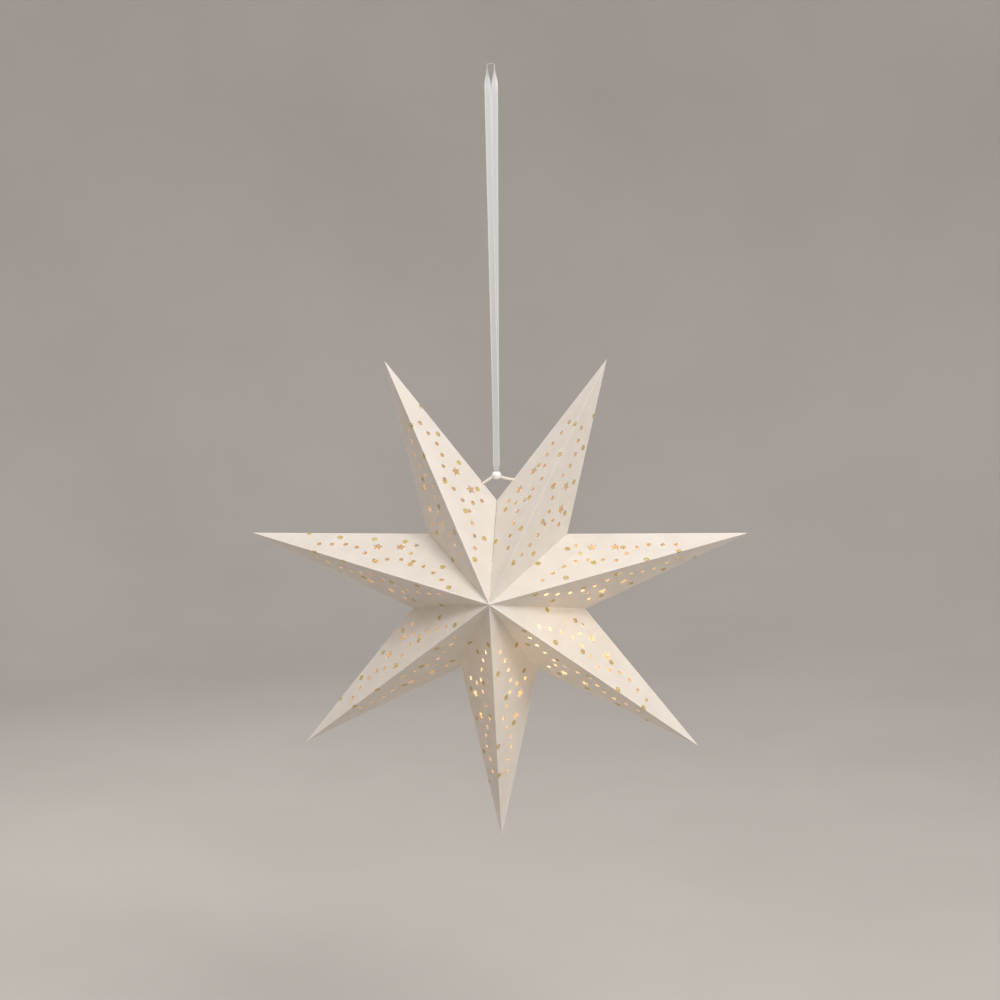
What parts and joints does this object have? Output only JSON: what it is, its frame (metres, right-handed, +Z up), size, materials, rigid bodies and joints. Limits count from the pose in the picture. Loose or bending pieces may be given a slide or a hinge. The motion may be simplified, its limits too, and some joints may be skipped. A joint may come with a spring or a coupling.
{
  "type": "paper star lantern",
  "caption": "Hanging folded paper star lantern with die-cut holes, gold dots and a warm light inside, on a white ribbon; the star unties and folds flat.",
  "frame": {"origin": "inner top of the ribbon loop that the lantern hangs from", "axes": "+Z up along the ribbon, front of the star towards -Y, +X to the right seen from the front"},
  "size_m": [0.5818, 0.2024, 0.9086],
  "materials": {
    "paper": "matt white card with die-cut holes and printed gold dots",
    "ribbon": "white satin ribbon",
    "bead": "glossy white",
    "tie_cord": "cream cotton cord",
    "hanger_wire": "bright wire",
    "light_plastic": "moulded, fine satin",
    "contact_metal": "plated",
    "cell_metal": "nickel plated",
    "board": "white solder mask",
    "screw_metal": "zinc plated",
    "diffuser_plastic": "frosted, lit from inside",
    "switch_plastic": "moulded",
    "led": "warm white lamp, lit"
  },
  "bodies": {
    "hanging_ribbon": {"ribbon": "ribbon"},
    "point_1_front_a": {"point_1_front_panel_a": "paper", "bead": "bead", "left_tie_cord": "tie_cord", "left_cord_knot": "tie_cord", "light_hanger": "hanger_wire"},
    "point_1_front_b": {"point_1_front_panel_b": "paper"},
    "point_2_front_a": {"point_2_front_panel_a": "paper"},
    "point_2_front_b": {"point_2_front_panel_b": "paper"},
    "point_3_front_a": {"point_3_front_panel_a": "paper"},
    "point_3_front_b": {"point_3_front_panel_b": "paper"},
    "point_4_front_a": {"point_4_front_panel_a": "paper"},
    "point_4_front_b": {"point_4_front_panel_b": "paper"},
    "point_5_front_a": {"point_5_front_panel_a": "paper"},
    "point_5_front_b": {"point_5_front_panel_b": "paper"},
    "point_6_front_a": {"point_6_front_panel_a": "paper"},
    "point_6_front_b": {"point_6_front_panel_b": "paper"},
    "point_7_front_a": {"point_7_front_panel_a": "paper"},
    "point_7_front_b": {"point_7_front_panel_b": "paper", "right_tie_cord": "tie_cord", "right_cord_knot": "tie_cord"},
    "point_1_back_a": {"point_1_back_panel_a": "paper"},
    "point_1_back_b": {"point_1_back_panel_b": "paper"},
    "point_2_back_a": {"point_2_back_panel_a": "paper"},
    "point_2_back_b": {"point_2_back_panel_b": "paper"},
    "point_3_back_a": {"point_3_back_panel_a": "paper"},
    "point_3_back_b": {"point_3_back_panel_b": "paper"},
    "point_4_back_a": {"point_4_back_panel_a": "paper"},
    "point_4_back_b": {"point_4_back_panel_b": "paper"},
    "point_5_back_a": {"point_5_back_panel_a": "paper"},
    "point_5_back_b": {"point_5_back_panel_b": "paper"},
    "point_6_back_a": {"point_6_back_panel_a": "paper"},
    "point_6_back_b": {"point_6_back_panel_b": "paper"},
    "point_7_back_a": {"point_7_back_panel_a": "paper"},
    "point_7_back_b": {"point_7_back_panel_b": "paper"},
    "light_cap": {"light_cap": "light_plastic", "spring_contact": "contact_metal"},
    "light_case": {"light_case": "light_plastic", "lower_contact": "contact_metal", "lower_coin_cell": "cell_metal", "upper_coin_cell": "cell_metal", "circuit_board": "board", "board_screws": "screw_metal", "led_1": "led", "led_2": "led", "led_3": "led", "led_4": "led", "diffuser": "diffuser_plastic"},
    "switch_slider": {"switch_slider": "switch_plastic"}
  },
  "joints": [
    {"name": "point_1_ridge_fold", "type": "hinge", "parent": "point_1_front_a", "child": "point_1_front_b", "pos_m": [0.00005, -0.10466, -0.61011], "axis": [0.4095, -0.3304, -0.8504], "range_deg": [0, 59.76]},
    {"name": "valley_1_2_fold", "type": "hinge", "parent": "point_1_front_b", "child": "point_2_front_a", "pos_m": [-0.00015, -0.10519, -0.60988], "axis": [-0.5528, 0.7071, 0.4409], "range_deg": [0, 93.48]},
    {"name": "point_2_ridge_fold", "type": "hinge", "parent": "point_2_front_a", "child": "point_2_front_b", "pos_m": [0.00012, -0.10466, -0.61003], "axis": [0.9202, -0.3304, -0.21], "range_deg": [0, 66.14]},
    {"name": "valley_2_3_fold", "type": "hinge", "parent": "point_2_front_b", "child": "point_3_front_a", "pos_m": [-0.00019, -0.10519, -0.61004], "axis": [-0.6894, 0.7071, -0.1573], "range_deg": [0, 93.48]},
    {"name": "point_3_ridge_fold", "type": "hinge", "parent": "point_3_front_a", "child": "point_3_front_b", "pos_m": [0.00009, -0.10466, -0.60993], "axis": [0.7379, -0.3304, 0.5885], "range_deg": [0, 66.14]},
    {"name": "valley_3_4_fold", "type": "hinge", "parent": "point_3_front_b", "child": "point_4_front_a", "pos_m": [-0.00008, -0.10519, -0.61017], "axis": [-0.3068, 0.7071, -0.6371], "range_deg": [0, 93.48]},
    {"name": "point_4_ridge_fold", "type": "hinge", "parent": "point_4_front_a", "child": "point_4_front_b", "pos_m": [0, -0.10466, -0.60988], "axis": [0, -0.3304, 0.9439], "range_deg": [0, 66.14]},
    {"name": "valley_4_5_fold", "type": "hinge", "parent": "point_4_front_b", "child": "point_5_front_a", "pos_m": [0.00008, -0.10519, -0.61017], "axis": [0.3068, 0.7071, -0.6371], "range_deg": [0, 93.48]},
    {"name": "point_5_ridge_fold", "type": "hinge", "parent": "point_5_front_a", "child": "point_5_front_b", "pos_m": [-0.00009, -0.10466, -0.60993], "axis": [-0.7379, -0.3304, 0.5885], "range_deg": [0, 66.14]},
    {"name": "valley_5_6_fold", "type": "hinge", "parent": "point_5_front_b", "child": "point_6_front_a", "pos_m": [0.00019, -0.10519, -0.61004], "axis": [0.6894, 0.7071, -0.1573], "range_deg": [0, 93.48]},
    {"name": "point_6_ridge_fold", "type": "hinge", "parent": "point_6_front_a", "child": "point_6_front_b", "pos_m": [-0.00012, -0.10466, -0.61003], "axis": [-0.9202, -0.3304, -0.21], "range_deg": [0, 66.14]},
    {"name": "valley_6_7_fold", "type": "hinge", "parent": "point_6_front_b", "child": "point_7_front_a", "pos_m": [0.00015, -0.10519, -0.60988], "axis": [0.5528, 0.7071, 0.4409], "range_deg": [0, 93.48]},
    {"name": "point_7_ridge_fold", "type": "hinge", "parent": "point_7_front_a", "child": "point_7_front_b", "pos_m": [-0.00005, -0.10466, -0.61011], "axis": [-0.4095, -0.3304, -0.8504], "range_deg": [0, 59.76]},
    {"name": "point_1_side_fold_a", "type": "hinge", "parent": "point_1_front_a", "child": "point_1_back_a", "pos_m": [-0.13035, 0, -0.33985], "axis": [0.6187, 0, -0.7856], "range_deg": [0, 62]},
    {"name": "point_1_side_fold_b", "type": "hinge", "parent": "point_1_front_b", "child": "point_1_back_b", "pos_m": [-0.12994, 0, -0.33966], "axis": [-0.2285, 0, 0.9735], "range_deg": [0, 62]},
    {"name": "point_2_side_fold_a", "type": "hinge", "parent": "point_2_front_a", "child": "point_2_back_a", "pos_m": [-0.29248, 0, -0.54348], "axis": [1, 0, -0.0061], "range_deg": [0, 62]},
    {"name": "point_2_side_fold_b", "type": "hinge", "parent": "point_2_front_b", "child": "point_2_back_b", "pos_m": [-0.29238, 0, -0.54303], "axis": [-0.9036, 0, 0.4284], "range_deg": [0, 62]},
    {"name": "point_3_side_fold_a", "type": "hinge", "parent": "point_3_front_a", "child": "point_3_back_a", "pos_m": [-0.23437, 0, -0.79719], "axis": [0.6283, 0, 0.778], "range_deg": [0, 62]},
    {"name": "point_3_side_fold_b", "type": "hinge", "parent": "point_3_front_b", "child": "point_3_back_b", "pos_m": [-0.23465, 0, -0.79684], "axis": [-0.8983, 0, -0.4394], "range_deg": [0, 62]},
    {"name": "point_4_side_fold_a", "type": "hinge", "parent": "point_4_front_a", "child": "point_4_back_a", "pos_m": [0.00023, 0, -0.90995], "axis": [-0.2165, 0, 0.9763], "range_deg": [0, 62]},
    {"name": "point_4_side_fold_b", "type": "hinge", "parent": "point_4_front_b", "child": "point_4_back_b", "pos_m": [-0.00023, 0, -0.90995], "axis": [-0.2165, 0, -0.9763], "range_deg": [0, 62]},
    {"name": "point_5_side_fold_a", "type": "hinge", "parent": "point_5_front_a", "child": "point_5_back_a", "pos_m": [0.23465, 0, -0.79684], "axis": [-0.8983, 0, 0.4394], "range_deg": [0, 62]},
    {"name": "point_5_side_fold_b", "type": "hinge", "parent": "point_5_front_b", "child": "point_5_back_b", "pos_m": [0.23437, 0, -0.79719], "axis": [0.6283, 0, -0.778], "range_deg": [0, 62]},
    {"name": "point_6_side_fold_a", "type": "hinge", "parent": "point_6_front_a", "child": "point_6_back_a", "pos_m": [0.29238, 0, -0.54303], "axis": [-0.9036, 0, -0.4284], "range_deg": [0, 62]},
    {"name": "point_6_side_fold_b", "type": "hinge", "parent": "point_6_front_b", "child": "point_6_back_b", "pos_m": [0.29248, 0, -0.54348], "axis": [1, 0, 0.0061], "range_deg": [0, 62]},
    {"name": "point_7_side_fold_a", "type": "hinge", "parent": "point_7_front_a", "child": "point_7_back_a", "pos_m": [0.12994, 0, -0.33966], "axis": [-0.2285, 0, -0.9735], "range_deg": [0, 62]},
    {"name": "point_7_side_fold_b", "type": "hinge", "parent": "point_7_front_b", "child": "point_7_back_b", "pos_m": [0.13035, 0, -0.33985], "axis": [0.6187, 0, 0.7856], "range_deg": [0, 62]},
    {"name": "ribbon_twist", "type": "hinge", "parent": "hanging_ribbon", "child": "point_1_front_a", "pos_m": [0, 0, -0.61], "axis": [0, 0, 1], "range_deg": [-90, 90], "deforming": ["ribbon"]},
    {"name": "light_swing", "type": "hinge", "parent": "point_1_front_a", "child": "light_cap", "pos_m": [0.01, 0, -0.548], "axis": [1, 0, 0], "range_deg": [-15, 15]},
    {"name": "light_bayonet", "type": "hinge", "parent": "light_cap", "child": "light_case", "pos_m": [0.01, 0, -0.548], "axis": [0, 0, -1], "range_deg": [0, 30]},
    {"name": "switch_slide", "type": "slide", "parent": "light_case", "child": "switch_slider", "axis": [0, 1, 0], "range_m": [0, 0.003]}
  ],
  "couplings": [
    {"joint": "valley_1_2_fold", "follows": "point_1_ridge_fold", "ratio": 1.5643},
    {"joint": "point_2_ridge_fold", "follows": "point_1_ridge_fold", "ratio": 1.1068},
    {"joint": "valley_2_3_fold", "follows": "point_1_ridge_fold", "ratio": 1.5643},
    {"joint": "point_3_ridge_fold", "follows": "point_1_ridge_fold", "ratio": 1.1068},
    {"joint": "valley_3_4_fold", "follows": "point_1_ridge_fold", "ratio": 1.5643},
    {"joint": "point_4_ridge_fold", "follows": "point_1_ridge_fold", "ratio": 1.1068},
    {"joint": "valley_4_5_fold", "follows": "point_1_ridge_fold", "ratio": 1.5643},
    {"joint": "point_5_ridge_fold", "follows": "point_1_ridge_fold", "ratio": 1.1068},
    {"joint": "valley_5_6_fold", "follows": "point_1_ridge_fold", "ratio": 1.5643},
    {"joint": "point_6_ridge_fold", "follows": "point_1_ridge_fold", "ratio": 1.1068},
    {"joint": "valley_6_7_fold", "follows": "point_1_ridge_fold", "ratio": 1.5643},
    {"joint": "point_7_ridge_fold", "follows": "point_1_ridge_fold", "ratio": 1},
    {"joint": "point_1_side_fold_a", "follows": "point_1_ridge_fold", "ratio": 1.0376},
    {"joint": "point_1_side_fold_b", "follows": "point_1_ridge_fold", "ratio": 1.0376},
    {"joint": "point_2_side_fold_a", "follows": "point_1_ridge_fold", "ratio": 1.0376},
    {"joint": "point_2_side_fold_b", "follows": "point_1_ridge_fold", "ratio": 1.0376},
    {"joint": "point_3_side_fold_a", "follows": "point_1_ridge_fold", "ratio": 1.0376},
    {"joint": "point_3_side_fold_b", "follows": "point_1_ridge_fold", "ratio": 1.0376},
    {"joint": "point_4_side_fold_a", "follows": "point_1_ridge_fold", "ratio": 1.0376},
    {"joint": "point_4_side_fold_b", "follows": "point_1_ridge_fold", "ratio": 1.0376},
    {"joint": "point_5_side_fold_a", "follows": "point_1_ridge_fold", "ratio": 1.0376},
    {"joint": "point_5_side_fold_b", "follows": "point_1_ridge_fold", "ratio": 1.0376},
    {"joint": "point_6_side_fold_a", "follows": "point_1_ridge_fold", "ratio": 1.0376},
    {"joint": "point_6_side_fold_b", "follows": "point_1_ridge_fold", "ratio": 1.0376},
    {"joint": "point_7_side_fold_a", "follows": "point_1_ridge_fold", "ratio": 1.0376},
    {"joint": "point_7_side_fold_b", "follows": "point_1_ridge_fold", "ratio": 1.0376}
  ]
}
